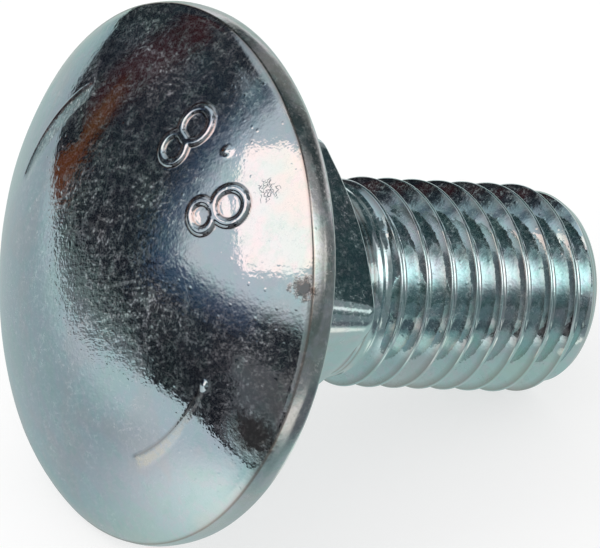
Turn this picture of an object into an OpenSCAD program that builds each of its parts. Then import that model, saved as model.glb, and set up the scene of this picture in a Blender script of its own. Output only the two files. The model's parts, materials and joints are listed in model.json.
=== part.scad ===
// Carriage bolt: domed head, square neck and short threaded shank, forged in one piece.
// It is drawn upright in its own frame, head up, with z = 0 at the bearing face under the head.
// It is then laid down as a loose bolt comes to rest: on the edge of its head and on its tip.
// Sizes are millimetres. The thread is a plain cylinder at its true outside diameter.

/* [Head] */
// Diameter of the head
head_d = 30.4; // [25:0.1:37]
// Height of the head, from the bearing face to the top of the dome
head_h = 6.2; // [5:0.1:7.5]
// Height of the upright rim below the dome
rim_h = 1.45; // [0.8:0.05:2]
// Rounding of the rim where it meets the bearing face
rim_edge_r = 0.35; // [0.1:0.05:0.6]

/* [Neck] */
// Width of the square neck across its flats
neck_w = 12.2; // [11:0.1:15]
// Height of the neck, from the bearing face to the end of its flats
neck_h = 8.7; // [6:0.1:11]
// Rounding of the four upright corners of the neck
neck_corner_r = 1; // [0.4:0.1:1.5]
// How far back the end of the neck slopes from the middle of a flat out to a corner
neck_slope = 0.6; // [0.2:0.1:1]
// Fillet between the neck and the bearing face
neck_fillet_r = 0.6; // [0.2:0.1:1]
// Turn of the square about the bolt's axis as it lies
neck_turn = 58; // [0:1:89]

/* [Shank] */
// Outside diameter of the thread
thread_d = 11.83; // [9.6:0.01:14.4]
// Length under the head, from the bearing face to the end of the tip
bolt_l = 25.6; // [21:0.1:60]
// Length over which the thread's outside rounds in towards the end of the tip
tip_l = 2.5; // [1.5:0.1:3]
// How far it rounds in, measured on the radius
tip_inset = 0.77; // [0.3:0.01:1.2]

/* [Hidden] */
$fn = 96;
zinc = "lightsteelblue";

// Radius of an arc from half its chord and its rise, used for the dome and for the tip.
function arc_radius(half_chord, rise) = (pow(half_chord, 2) + pow(rise, 2)) / (2 * rise);
head_r = head_d / 2;
thread_r = thread_d / 2;
dome_r = arc_radius(head_r, head_h - rim_h);
tip_r = arc_radius(tip_l, tip_inset);

// The lying bolt touches the floor with two arcs: the edge of the rim and the arc of the tip.
// Each centre is [distance past the bearing face towards the tip, distance from the axis].
rim_centre = [-rim_edge_r, head_r - rim_edge_r];
tip_centre = [bolt_l - tip_l, thread_r - tip_r];
touch_span = norm(tip_centre - rim_centre);
chord_angle = atan2(rim_centre.y - tip_centre.y, tip_centre.x - rim_centre.x);
lie_angle = chord_angle + asin((rim_edge_r - tip_r) / touch_span);
// Height of the bearing face's centre above the floor, and the reach of the bolt to each side.
lie_h = rim_centre.y * cos(lie_angle) + rim_centre.x * sin(lie_angle) + rim_edge_r;
head_reach = dome_r - (dome_r - head_h) * cos(lie_angle);
tip_reach = bolt_l * cos(lie_angle) + (thread_r - tip_inset) * sin(lie_angle);

// Thickness by which one solid runs into its neighbour so that they join.
lap = 0.5;
// Reach of the neck's corners from the axis, and the rise of its end for each millimetre outwards.
corner_reach = (neck_w / 2 - neck_corner_r) * sqrt(2) + neck_corner_r;
neck_end_pitch = neck_slope / (corner_reach - neck_w / 2);

// Outline of the rim and the full width under the dome, in half section.
module rim_section() {
    square([head_r - rim_edge_r, head_h]);
    translate([0, rim_edge_r])
        square([head_r, head_h - rim_edge_r]);
    translate([head_r - rim_edge_r, rim_edge_r])
        circle(r = rim_edge_r);
}

module head() {
    intersection() {
        rotate_extrude()
            rim_section();
        translate([0, 0, head_h - dome_r])
            sphere(r = dome_r, $fn = 192);
    }
}

// Hollow quarter round that fills the angle between two faces.
module fillet_section() {
    difference() {
        translate([-lap, -lap])
            square(neck_fillet_r + lap);
        translate([neck_fillet_r, neck_fillet_r])
            circle(r = neck_fillet_r);
    }
}

// The fillet round the top of the neck: one straight length and one corner, four times.
module neck_fillet() {
    straight = neck_w - 2 * neck_corner_r;
    for (side = [0:3])
        rotate(90 * side)
            mirror([0, 0, 1]) {
                translate([neck_w / 2, straight / 2, 0])
                    rotate([90, 0, 0])
                        linear_extrude(straight)
                            fillet_section();
                translate([straight / 2, straight / 2, 0])
                    rotate_extrude(angle = 90)
                        intersection() {
                            translate([neck_corner_r, 0])
                                fillet_section();
                            translate([0, -lap])
                                square([neck_corner_r + neck_fillet_r, neck_fillet_r + lap]);
                        }
            }
}

// Square bar with rounded corners. Its end is a shallow cone, so the corners stop first.
module neck() {
    inner = neck_w - 2 * neck_corner_r;
    intersection() {
        translate([0, 0, -neck_h])
            linear_extrude(neck_h + lap) {
                square([neck_w, inner], center = true);
                square([inner, neck_w], center = true);
                for (x = [-1, 1], y = [-1, 1])
                    translate([x, y] * inner / 2)
                        circle(r = neck_corner_r);
            }
        rotate_extrude()
            polygon([
                [0, lap],
                [corner_reach + lap, lap],
                [corner_reach + lap, neck_slope + lap * neck_end_pitch - neck_h],
                [neck_w / 2, -neck_h],
                [0, -neck_h]
            ]);
    }
}

// Shank at the outside diameter of its thread, rounded in to the flat of the tip.
module shank() {
    mirror([0, 0, 1])
        rotate_extrude() {
            translate([0, -lap])
                square([thread_r, bolt_l - tip_l + lap]);
            intersection() {
                translate([thread_r - tip_r, bolt_l - tip_l])
                    circle(r = tip_r);
                square([thread_r, bolt_l]);
            }
        }
}

module bolt() {
    color(zinc)
        translate([(head_reach - tip_reach) / 2, 0, lie_h])
            rotate([0, lie_angle - 90, 0])
                rotate(neck_turn)
                    union() {
                        head();
                        neck();
                        neck_fillet();
                        shank();
                    }
}

bolt();
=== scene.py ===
# %% [markdown]
# # A zinc-plated carriage bolt
#
# A carriage bolt, or coach bolt, is forged from one rod of steel. A wide shallow dome is struck on
# one end, a short square is formed under it that bites into timber, and a thread is rolled on the
# rest. It is then plated with bright zinc.
#
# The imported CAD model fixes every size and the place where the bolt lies. It is loaded first and
# never changed. What Blender adds is what the plain solid leaves out: the real helical thread, the
# raised marks on the dome, the soft edges of a forging, and the finish.

# %% Load the frame
import json
import math

import bpy
import numpy as np
from mathutils import Matrix, Vector


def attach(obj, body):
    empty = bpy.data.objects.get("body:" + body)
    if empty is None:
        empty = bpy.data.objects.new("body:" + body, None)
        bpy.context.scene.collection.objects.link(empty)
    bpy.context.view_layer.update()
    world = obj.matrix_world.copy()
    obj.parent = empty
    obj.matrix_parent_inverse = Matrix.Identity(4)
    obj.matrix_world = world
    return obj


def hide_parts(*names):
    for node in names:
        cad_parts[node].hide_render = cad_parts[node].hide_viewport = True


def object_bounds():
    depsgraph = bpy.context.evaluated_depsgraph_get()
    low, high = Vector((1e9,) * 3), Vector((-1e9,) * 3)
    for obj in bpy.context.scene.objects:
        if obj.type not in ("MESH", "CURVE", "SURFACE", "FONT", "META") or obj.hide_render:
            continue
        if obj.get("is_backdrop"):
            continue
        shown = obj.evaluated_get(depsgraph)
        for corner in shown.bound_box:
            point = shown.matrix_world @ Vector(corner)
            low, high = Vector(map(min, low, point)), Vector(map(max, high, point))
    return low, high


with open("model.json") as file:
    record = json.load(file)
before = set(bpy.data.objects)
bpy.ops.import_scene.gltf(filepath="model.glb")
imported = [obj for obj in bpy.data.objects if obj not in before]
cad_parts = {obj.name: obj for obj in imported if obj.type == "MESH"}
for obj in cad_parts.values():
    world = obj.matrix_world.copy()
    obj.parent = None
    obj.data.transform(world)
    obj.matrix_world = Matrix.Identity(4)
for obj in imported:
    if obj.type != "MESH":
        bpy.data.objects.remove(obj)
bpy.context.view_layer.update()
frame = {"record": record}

# %% [markdown]
# ## Stand the bolt up to model it
#
# The bolt lies on the floor, on the edge of its head and on its tip. It could be modelled lying
# down, but every part of it is turned round one axis, so it is far easier to model standing on that
# axis and to lay it down once, at the end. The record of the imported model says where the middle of
# the bearing face is and which way the axis runs, so nothing has to be fitted by eye.
#
# While it stands, one Blender unit is one millimetre, z is 0 at the bearing face under the head,
# the head is above it and the shank hangs below. Edit-mode tools merge and cut at distances that
# suit this size better than thousandths of a metre.

# %% Find the axis
MM = 0.001
mounts = {m["name"]: m for m in frame["record"]["mounts"]}
axis = Vector(mounts["under_head"]["axis"]).normalized()  # from the head towards the tip
seat = Vector(mounts["under_head"]["pos_m"])
seat.y = 0.0  # the mount stands out to the side of the middle
up_side = Vector((-axis.z, 0.0, axis.x))
lay_down = Matrix.Translation(seat) @ Matrix(
    (up_side, Vector((0.0, 1.0, 0.0)), -axis)
).transposed().to_4x4() @ Matrix.Scale(MM, 4)
print("the axis slopes down by", round(math.degrees(math.asin(-axis.z)), 2), "degrees")

# %% [markdown]
# ## The dome is part of a sphere
#
# The sphere's radius follows from the head's radius and from how high the dome stands over its rim.
# With it the dome's height is known at every distance from the axis, which the outline needs.

# %% Work out the dome
HEAD_R = 15.2
HEAD_H = 6.2
RIM_H = 1.45
EDGE_R = 15.04  # the dome ends here, and the rim bulges out a little below it
dome_h = HEAD_H - RIM_H
dome_r = (HEAD_R**2 + dome_h**2) / (2 * dome_h)


def dome_z(rho):
    """Height of the dome at a distance from the axis."""
    return HEAD_H - dome_r + math.sqrt(dome_r**2 - rho**2)


print("the dome's sphere has a radius of", round(dome_r, 2), "mm")

# %% [markdown]
# ## Drawing an outline
#
# A turned shape starts as half of its outline. A plane is collapsed to one point, and the point is
# extruded from corner to corner, as a pen would draw it. A curve object could be used instead, but
# a mesh outline can be spun straight away.

# %% A pen for outlines
def draw_outline(name, points):
    """Draws an open line through (distance from the axis, height) and leaves it in edit mode."""
    bpy.ops.object.select_all(action="DESELECT")
    bpy.ops.mesh.primitive_plane_add(size=1.0)
    obj = bpy.context.object
    obj.name = name
    bpy.ops.object.mode_set(mode="EDIT")
    bpy.ops.mesh.select_all(action="SELECT")
    bpy.ops.mesh.merge(type="CENTER")
    x, z = points[0]
    bpy.ops.transform.translate(value=(x, 0.0, z))
    for nx, nz in points[1:]:
        step = (nx - x, 0.0, nz - z)
        bpy.ops.mesh.extrude_vertices_move(TRANSFORM_OT_translate={"value": step})
        x, z = nx, nz
    print(name, "has an outline of", len(points), "points")
    return obj


print("the pen is ready")

# %% [markdown]
# ## The head
#
# The dome is a shallow cap of a sphere. It ends in a soft edge, and below the edge stands a rim
# that bulges a little, because the die lets the steel spread there. Then the rim rounds under to
# the flat bearing face. All of that is one outline, spun once round the axis.
#
# The rings lie close together where the marks will be raised, and wide apart where the dome is
# plain. A single fine spacing everywhere would cost four times the faces for nothing.

# %% Draw the head's outline
MARK_BAND = (7.4, 12.3)  # the marks stand between these distances from the axis
EDGE_TURN = ((-0.08, 0.012), (-0.02, 0.05), (0.012, 0.11), (0.03, 0.19))  # (outwards, down)
RIM = (
    (15.095, 1.27), (15.118, 1.13), (15.134, 1.00), (15.140, 0.88), (15.136, 0.78), (15.124, 0.68),
    (15.110, 0.58), (15.094, 0.48), (15.076, 0.38), (15.042, 0.24), (15.004, 0.11), (14.970, 0.05),
    (14.910, 0.012), (14.780, 0.0),
)
BEARING_FACE = (14.0, 13.0, 12.0, 10.8)
edge_z = dome_z(EDGE_R)
rings = [0.0, 0.2]
rings += list(np.linspace(0.6, MARK_BAND[0], 14))
rings += list(np.linspace(*MARK_BAND, 56))[1:]
rings += list(np.linspace(MARK_BAND[1], EDGE_R - 0.16, 10))[1:]
outline = [(rho, dome_z(rho)) for rho in rings]
outline += [(EDGE_R + outwards, edge_z + 0.03 - down) for outwards, down in EDGE_TURN]
outline += [*RIM, *((rho, 0.0) for rho in BEARING_FACE)]
head = draw_outline("head", outline)

# %% [markdown]
# ## Spin it, with more columns where the numerals are
#
# Spin turns the outline through equal steps. The numerals stand on one sixth of the dome and need
# columns four tenths of a degree apart, so afterwards the columns are slid round the axis: they
# crowd together under the numerals and open up elsewhere.

# %% Spin the head
COLUMNS = 420
CROWDED = 160  # so many of the columns crowd together
NUMERAL_SIDE = (-58.0, 5.0)  # the numerals stand between these directions, in degrees


def coordinates(obj):
    """All vertex places of a mesh as an array."""
    flat = np.empty(len(obj.data.vertices) * 3)
    obj.data.vertices.foreach_get("co", flat)
    return flat.reshape(-1, 3)


def set_coordinates(obj, co):
    """Puts the vertices of a mesh at the places in an array."""
    obj.data.vertices.foreach_set("co", co.astype(np.float32).ravel())
    obj.data.update()


def column_angle(turned):
    """Where a column goes that the spin left at this angle, in degrees."""
    share = (turned % 360.0) / 360.0
    crowded = CROWDED / COLUMNS
    low, high = NUMERAL_SIDE
    if share < crowded:
        return low + (high - low) * share / crowded
    return high + (360.0 - high + low) * (share - crowded) / (1 - crowded)


bpy.ops.mesh.select_all(action="SELECT")
bpy.ops.mesh.spin(steps=COLUMNS, angle=2 * math.pi, center=(0, 0, 0), axis=(0, 0, 1))
bpy.ops.mesh.select_all(action="SELECT")
bpy.ops.mesh.remove_doubles(threshold=0.0004)
bpy.ops.object.mode_set(mode="OBJECT")
co = coordinates(head)
rho = np.hypot(co[:, 0], co[:, 1])
turned = np.degrees(np.arctan2(co[:, 1], co[:, 0]))
turned = np.round(turned / 360.0 * COLUMNS) / COLUMNS * 360.0
angle = np.radians([column_angle(t) for t in turned])
co[:, 0], co[:, 1] = rho * np.cos(angle), rho * np.sin(angle)
set_coordinates(head, co)
print("the head has", len(head.data.polygons), "faces")

# %% [markdown]
# ## Raise the marks
#
# The forging die is engraved, so the marks stand up out of the dome with soft sides. Text could be
# extruded and joined on, but it would meet the dome in a hard line. Here the skin itself is moved:
# each vertex rises by an amount that depends on how near it is to the middle of a stroke, and the
# sides blend into the dome as pressed steel does.
#
# First come the sums that every mark needs: how far each vertex is from a point or a ring on the
# dome, and what the cross-section of a stroke is.

# %% Measure on the dome
x, y = co[:, 0], co[:, 1]


def from_point(degrees, distance=0.0):
    """Distances along and across from a point, which lies in this direction from the axis."""
    c, s = math.cos(math.radians(degrees)), math.sin(math.radians(degrees))
    return x * c + y * s - distance, y * c - x * s


def ring_distance(along, across, middle, half_along, half_across):
    """Distance from the line of an oval ring."""
    mean = (half_along + half_across) / 2
    return np.abs(np.hypot((along - middle) / half_along, across / half_across) - 1) * mean


def stroke_height(distance, half_width):
    """A stroke's soft cross-section: 1 on its middle line and 0 at its foot."""
    return np.cos(np.clip(distance / half_width, 0, 1) * math.pi / 2) ** 2


def bell(distance, width):
    """1 on a line and almost 0 from two widths away, on both sides of it."""
    return np.exp(-((distance / width) ** 2))


print("the dome has", int((co[:, 2] > edge_z).sum()), "vertices to raise marks from")

# %% [markdown]
# ## The numerals
#
# The numerals are the strength class that every structural bolt carries. Each eight is two rings
# that touch, the smaller one towards the top of the dome. Their strokes have a flat top and steep
# sides, as the cutter leaves them in the die. Inside the second eight the dome leans outwards a
# little, where the steel was pushed aside. The dots are small round hills.

# %% Raise the numerals
STROKE = 0.30  # half the width of a stroke at its foot
NUMERALS = (  # direction; then the middle, half length, half width and lean of the two rings
    (-12.4, (10.68, 0.95, 0.95, 0.0), (8.98, 0.82, 0.84, 0.0)),
    (-41.8, (10.88, 0.94, 0.97, 0.35), (9.14, 0.72, 0.86, 0.8)),
)
DOTS = ((-26.3, 11.52, 0.42, 1.0), (-97.2, 10.60, 0.33, 1.1))  # direction, distance, size, rise
leaning = np.zeros(len(co))
rings_gap = np.full(len(co), 9.0)  # how far each vertex is from the middle of the nearest stroke
for degrees, *ovals in NUMERALS:
    along, across = from_point(degrees)
    for middle, half_along, half_across, lean in ovals:
        gap = ring_distance(along, across, middle, half_along, half_across)
        rings_gap = np.minimum(rings_gap, gap)
        inside = np.clip(1 - np.hypot(along - middle, across) / (half_along - 0.1), 0, 1)
        leaning += (middle - along) * np.clip(3 * inside, 0, 1) * lean
side = np.clip((STROKE - rings_gap) / (0.7 * STROKE), 0, 1)
raised = side * side * (3 - 2 * side) + leaning  # how far each vertex rises, as a share
for degrees, distance, half_width, rise in DOTS:
    gap = np.hypot(*from_point(degrees, distance))
    raised = np.maximum(raised, rise * stroke_height(gap, half_width))
print("the numerals take in", int((raised > 0.01).sum()), "vertices")

# %% [markdown]
# ## A bar and a cut
#
# On the other sides of the dome are two plain arcs. One is a low raised bar that narrows towards
# one end, steep on its inner side and gentle on its outer side. The other is a shallow cut, steep
# on its outer side, where a small lip stands up, and gentle on its inner side. Each has a section:
# a height for every place across its width, which np.interp joins up with straight lines.
#
# The finish differs there too. Masks keep where the bar is, how far the cut is rough and is painted
# darker as shade, and where its one end is painted dark as shade, so that a material can find these
# places later.

# %% Raise the bar and press in the cut
BAR_SECTION = (-0.10, 0.0, 0.12, 1.0), (0.0, 1.0, 0.97, 0.0)
CUT_SECTION = (-1.0, -0.13, -0.08, 0.0, 0.06, 0.12), (0.0, -1.0, -1.0, 0.0, 0.30, 0.0)
ROUGH_AND_SHADE_SECTION = (-1.0, -0.85, -0.2, -0.09, -0.05), (0.0, 0.6, 0.9, 1.0, 0.0)
END_SHADE_SECTION = (-0.75, -0.5, -0.05, 0.0), (0.0, 0.7, 1.0, 0.0)
CUT_DEPTH = 0.50
around = np.degrees(np.arctan2(y, x))


def along_arc(first, last, distance):
    """Distances across an arc round the axis and past its ends, and the share of its length."""
    inside = np.clip(around, first, last)
    past = np.abs(np.radians(around - inside)) * rho
    return rho - distance, past, (inside - first) / (last - first)


across, past, share = along_arc(-138.0, -99.0, 10.45)
width = 0.78 - 0.50 * share
bar_here = np.clip(1 - past / 0.30, 0, 1)
bar = np.interp(across / width, *BAR_SECTION)
raised = np.maximum(raised, bar * (0.44 - 0.16 * share) * bar_here)
pale_bar = bar_here * ((across > 0.0) & (across < 0.85 * width)) * (1 - 0.7 * share)
# The foot of the bar's steep side gets the painted dark line: painted shade in the crease.
bar_foot_shade = bar_here * bell(across + 0.05, 0.07)

bowed = 10.92 - 0.12 * np.cos(np.radians(4 * (around - 67)))
across, past, share = along_arc(46.5, 88.0, bowed)
width = 1.40 - 0.40 * np.abs(2 * share - 1) ** 2
cut_here = np.clip(1 - past / 0.25, 0, 1)
raised += CUT_DEPTH * np.interp(across / width, *CUT_SECTION) * cut_here
# The cut is rough, and its colour is painted darker there as shade, most by its steep outer side.
rough_and_shaded_cut = cut_here * np.interp(across / width, *ROUGH_AND_SHADE_SECTION) * np.clip(3 - 3 * share, 0.15, 1)
# One end of the cut is painted dark: painted shade.
shaded_cut_end = cut_here * np.interp(across / width, *END_SHADE_SECTION) * np.clip(3 * share - 1.5, 0, 1)
print("the cut takes in", int((rough_and_shaded_cut > 0.01).sum()), "vertices")

# %% [markdown]
# ## Move the skin
#
# Every vertex now moves along the dome's own normal, which points away from the middle of the
# sphere. The foot of each raised stroke is kept as a mask too, for a dark line painted there that
# stands in for the shade in the crease.

# %% Move the vertices of the marks
MARK_RISE = 0.145
on_dome = (co[:, 2] > edge_z) & (rho < 14)
foot_shade = np.maximum(bell(rings_gap - 0.9 * STROKE, 0.055), 0.8 * bar_foot_shade) * on_dome
normal = co - np.array([0.0, 0.0, HEAD_H - dome_r])
normal /= np.linalg.norm(normal, axis=1)[:, None]
co += normal * (MARK_RISE * raised * on_dome)[:, None]
print(int((raised * on_dome > 0.01).sum()), "vertices stand in the marks")

# %% [markdown]
# ## A forging is never quite round
#
# The edge of the dome wanders by a few hundredths of a millimetre where the steel met the die, and
# the rim's width follows it. Only the ring at the edge is moved, up and down, and only by so little
# that the head stays inside its CAD size.

# %% Let the edge of the dome wander
at_edge = bell(co[:, 2] - edge_z, 0.35) * (rho > 14.5)
# The edge of the dome gets the painted dark line too: painted shade and dark reflection along it.
foot_shade += bell(co[:, 2] - edge_z + 0.05, 0.06) * (rho > 14.95)
around = np.arctan2(co[:, 1], co[:, 0])
wander = 0.06 * np.cos(around + 0.96) + 0.035 * np.sin(3 * around + 0.7)
wander += 0.025 * np.sin(7 * around + 2.1) + 0.015 * np.sin(12 * around)
co[:, 2] += wander * at_edge
set_coordinates(head, co)


def store_mask(obj, name, values):
    """Keeps a value for every vertex, which a material can read by the name of the mask."""
    mask = obj.data.attributes.new(name, "FLOAT", "POINT")
    mask.data.foreach_set("value", np.clip(values, 0, 1).astype(np.float32))


store_mask(head, "painted_edge_shade", foot_shade)
store_mask(head, "pale_bar", pale_bar)
store_mask(head, "rough_and_shaded_cut", rough_and_shaded_cut)
store_mask(head, "shaded_cut_end", shaded_cut_end)
print("the edge wanders by up to", round(float(np.abs(wander).max()), 3), "mm")

# %% [markdown]
# ## The square neck
#
# The neck is a square with rounded corners. It starts from the bearing face in a small fillet and
# ends in a steep shoulder, where the corners stop a little earlier than the flats. A cube with
# bevelled edges would do for the middle, but not for the fillet and the shoulder. So it is made as
# rings: one rounded square is drawn, extruded downwards ring by ring, and each new ring takes its
# own size.

# %% Work out the neck's rings
NECK_HALF = 6.1  # half the width across the flats
NECK_END = 8.7
NECK_TURN = 58.0  # degrees that the square is turned about the axis
FILLET = 0.6
TOP_CORNER = 2.0  # radius of a corner under the head; it sharpens on the way down
SHARPENING = 0.85
END_CORNER = 1.15
FLAT_POINTS = 7
CORNER_POINTS = 10


def rounded_square(half, corner):
    """Points of a square with rounded corners, evenly shared between its flats and corners."""
    inner = half - corner
    points = []
    for quarter in range(4):
        for t in np.linspace(-0.985, 0.985, FLAT_POINTS):
            points.append((half, inner * t, quarter))
        for t in np.linspace(0, 90, CORNER_POINTS):
            c, s = math.cos(math.radians(t)), math.sin(math.radians(t))
            points.append((inner + corner * c, inner + corner * s, quarter))
    out = []
    for px, py, quarter in points:
        turn = math.radians(NECK_TURN + 90 * quarter)
        c, s = math.cos(turn), math.sin(turn)
        out.append((px * c - py * s, px * s + py * c))
    return np.array(out)


def end_height(points, below):
    """Height of the neck's end: the corners stop before the flats do."""
    reach = np.hypot(points[:, 0], points[:, 1]) - NECK_HALF
    return -below + 0.36 * np.clip(reach, 0, None)


neck_rings = []
for t in np.radians(np.linspace(90, 180, 7)):  # the fillet, a quarter of a circle
    flare = FILLET * (1 + math.cos(t))
    points = rounded_square(NECK_HALF + flare, TOP_CORNER + flare)
    neck_rings.append((points, np.full(len(points), FILLET * (math.sin(t) - 1))))
for share in (0.12, 0.3, 0.5, 0.7, 0.85, 0.95, 1.0):  # the flats
    points = rounded_square(NECK_HALF, TOP_CORNER - SHARPENING * share**1.3)
    heights = -FILLET + (end_height(points, NECK_END - 0.1) + FILLET) * share
    neck_rings.append((points, heights))
for inset, below in ((0.02, 0.05), (0.07, 0.01), (0.16, 0.0), (0.4, -0.02)):  # the shoulder
    points = rounded_square(NECK_HALF - inset, END_CORNER)
    neck_rings.append((points, end_height(points, NECK_END - below)))
print("the neck has", len(neck_rings), "rings of", len(points), "points")

# %% [markdown]
# ## Extrude the rings
#
# A circle with the right number of points is extruded downwards in equal steps, once for each ring.
# The height of a vertex then says which ring it is on and its direction which point of the ring it
# is, so it can be put in its place.

# %% Make the neck
RING_STEP = 0.5
bpy.ops.object.select_all(action="DESELECT")
bpy.ops.mesh.primitive_circle_add(vertices=len(points), radius=8.0)
neck = bpy.context.object
neck.name = "neck"
bpy.ops.object.mode_set(mode="EDIT")
bpy.ops.mesh.select_all(action="SELECT")
for _ in neck_rings[1:]:
    bpy.ops.mesh.extrude_edges_move(TRANSFORM_OT_translate={"value": (0, 0, -RING_STEP)})
bpy.ops.object.mode_set(mode="OBJECT")
co = coordinates(neck)
for i, (cx, cy, cz) in enumerate(co.copy()):
    points, heights = neck_rings[round(-cz / RING_STEP)]
    column = round(math.atan2(cy, cx) / (2 * math.pi) * len(points)) % len(points)
    co[i] = (*points[column], heights[column])
set_coordinates(neck, co)
print("the neck has", len(neck.data.polygons), "faces")

# %% [markdown]
# ## The thread
#
# A metric thread is one groove that winds round the rod: flanks at 60 degrees to each other, a
# narrow flat on the crest and a rounded root. One pitch of it is drawn as an outline, and the Screw
# modifier winds it up. The mesh then follows the groove, so every crest and root is one clean line
# of edges. A stack of rings can't do that, and a bump pattern would leave a smooth rod.

# %% Draw one pitch
PITCH = 1.75
CREST_R = 5.915
DEPTH = 0.6134 * PITCH
ROOT_R = 0.25  # radius of the rounded root
CREST = ((0.0, 0.0), (0.008, 0.042), (0.030, 0.082), (0.066, 0.112))  # (inwards, along)
FIRST_CREST = 11.026  # how far under the bearing face the first full crest is, over the X axis
root_centre = (CREST_R - DEPTH + ROOT_R, PITCH / 2)


def on_root(degrees):
    """A point of the root, from 60 degrees where the flank ends to 0 where it is deepest."""
    t = math.radians(degrees)
    return root_centre[0] - ROOT_R * math.cos(t), root_centre[1] - ROOT_R * math.sin(t)


half = [(CREST_R - inwards, along) for inwards, along in CREST]
crest_end, flank_end = half[-1], on_root(60)
for k in (0.35, 0.7):
    half.append(tuple(a + (b - a) * k for a, b in zip(crest_end, flank_end)))
half += [on_root(degrees) for degrees in (60, 40, 20, 0)]
start = -FIRST_CREST - 10 * PITCH  # ten turns lower, so that the winding covers the whole shank
pitch_outline = [(r, start + t) for r, t in half]
pitch_outline += [(r, start + PITCH - t) for r, t in reversed(half[:-1])]
shank = draw_outline("shank", pitch_outline)
bpy.ops.object.mode_set(mode="OBJECT")

# %% [markdown]
# ## Wind it up
#
# The Screw modifier turns the outline round the axis and lifts it by one pitch for each turn. The
# start of each turn then lies on the end of the turn before, and merging the doubles joins them.

# %% Wind the thread
TURNS = 12
STEPS = 144
screw = shank.modifiers.new("winding", "SCREW")
screw.axis = "Z"
screw.angle = 2 * math.pi
screw.screw_offset = PITCH
screw.iterations = TURNS
screw.steps = screw.render_steps = STEPS
screw.use_merge_vertices = False
bpy.ops.object.modifier_apply(modifier=screw.name)
bpy.ops.object.mode_set(mode="EDIT")
bpy.ops.mesh.select_all(action="SELECT")
bpy.ops.mesh.remove_doubles(threshold=0.002)
bpy.ops.object.mode_set(mode="OBJECT")
co = coordinates(shank)
print("the thread winds from", round(co[:, 2].min(), 2), "to", round(co[:, 2].max(), 2), "mm")

# %% [markdown]
# ## Where the thread starts and ends
#
# Rolling dies can't press the full groove right up to the square, so the last turn fades out into
# the bare rod, which is thinner than the crests because rolling pushes the steel outwards. One thin
# half-made crest is left in the run-out. At the other end the rod was rounded before rolling, so
# the crests sink along an arc while the groove keeps its depth.
#
# Rolled crests aren't quite clean either. A line of small shallow dents runs beside each of them,
# on the flank that faces the head.

# %% Fade the thread at the neck and round the tip
ROD_R = 5.45
LENGTH = 25.6
TIP_LENGTH = 2.5
TIP_INSET = 0.77
RUN_OUT = (9.75, 11.75)  # the groove grows to its full depth between these distances
DENT_LINE = 0.3038  # how far from the crest the dents run
tip_r = (TIP_LENGTH**2 + TIP_INSET**2) / (2 * TIP_INSET)


def smooth_step(value, low, high):
    """0 below low, 1 above high and a smooth rise between them."""
    t = np.clip((value - low) / (high - low), 0, 1)
    return t * t * (3 - 2 * t)


def shape_thread(co):
    """Sets the radius along the shank: the run-out by the neck, the dents and the round tip."""
    r = np.hypot(co[:, 0], co[:, 1])
    along = -co[:, 2]
    turn = np.degrees(np.arctan2(co[:, 1], co[:, 0]))
    out = ROD_R + (r - ROD_R) * smooth_step(along, *RUN_OUT)
    helix = along + PITCH * turn / 360.0 - FIRST_CREST  # a whole number of pitches on each crest
    from_dents = np.mod(helix + DENT_LINE + PITCH / 2, PITCH) - PITCH / 2
    thin_crest = bell(from_dents + PITCH * 0.47, 0.09) + bell(from_dents - PITCH * 0.53, 0.09)
    in_run_out = smooth_step(along, 9.6, 10.2) * (1 - smooth_step(along, 10.9, 11.3))
    out += 0.17 * thin_crest * in_run_out
    wound = np.radians(360.0 * along / PITCH + turn)
    dents = np.sin(3.7 * wound) * np.sin(5.3 * wound + 1.0)
    dents += 0.6 * np.sin(9.1 * wound + 14 * from_dents)
    out -= 0.014 * (1 + dents) * bell(from_dents, 0.13)
    past = np.clip(along - (LENGTH - TIP_LENGTH), 0, TIP_LENGTH * 1.3)
    limit = CREST_R - tip_r + np.sqrt(np.maximum(tip_r**2 - past**2, 0))
    scale = np.minimum(out, limit) / r
    co = co.copy()
    co[:, 0] *= scale
    co[:, 1] *= scale
    return co


full_r = np.hypot(co[:, 0], co[:, 1])
co = shape_thread(co)
set_coordinates(shank, co)
# A painted dark line beside each crest stands in for the shade and dark reflections there.
store_mask(shank, "painted_edge_shade", 0.7 * bell(full_r - CREST_R + 0.075, 0.035))
print("the shank's radius is", round(float(np.hypot(co[:, 0], co[:, 1]).max()), 3), "mm at most")

# %% [markdown]
# ## Cut the shank to length
#
# The wound strip has ragged ends, so it starts too long and Bisect cuts it square: just under the
# neck, and a little before the tip.

# %% Cut the shank
SHANK_TOP = -9.0
END_ROUND = 0.14  # radius of the edge round the end face


def cut(height, keep_above):
    """Cuts the selected object level at a height and keeps one side of it."""
    bpy.ops.object.mode_set(mode="EDIT")
    bpy.ops.mesh.select_all(action="SELECT")
    bpy.ops.mesh.bisect(
        plane_co=(0, 0, height),
        plane_no=(0, 0, 1),
        use_fill=False,
        clear_inner=keep_above,
        clear_outer=not keep_above,
        threshold=0.0001,
    )
    bpy.ops.object.mode_set(mode="OBJECT")


cut(SHANK_TOP, keep_above=False)
cut(-(LENGTH - END_ROUND), keep_above=True)
z = coordinates(shank)[:, 2]
print("the shank now runs from", round(z.min(), 2), "to", round(z.max(), 2), "mm")

# %% [markdown]
# ## Close the end of the shank
#
# A cut leaves a loop of open edges. Three small steps of it round the edge of the end face, and a
# few close rings follow before the face is filled. Without them the smooth shading of the edge
# would spread over the whole face and make the flat end look like a wedge.

# %% Round and close the end
END_R = 5.1  # about the radius of the loop


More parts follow.
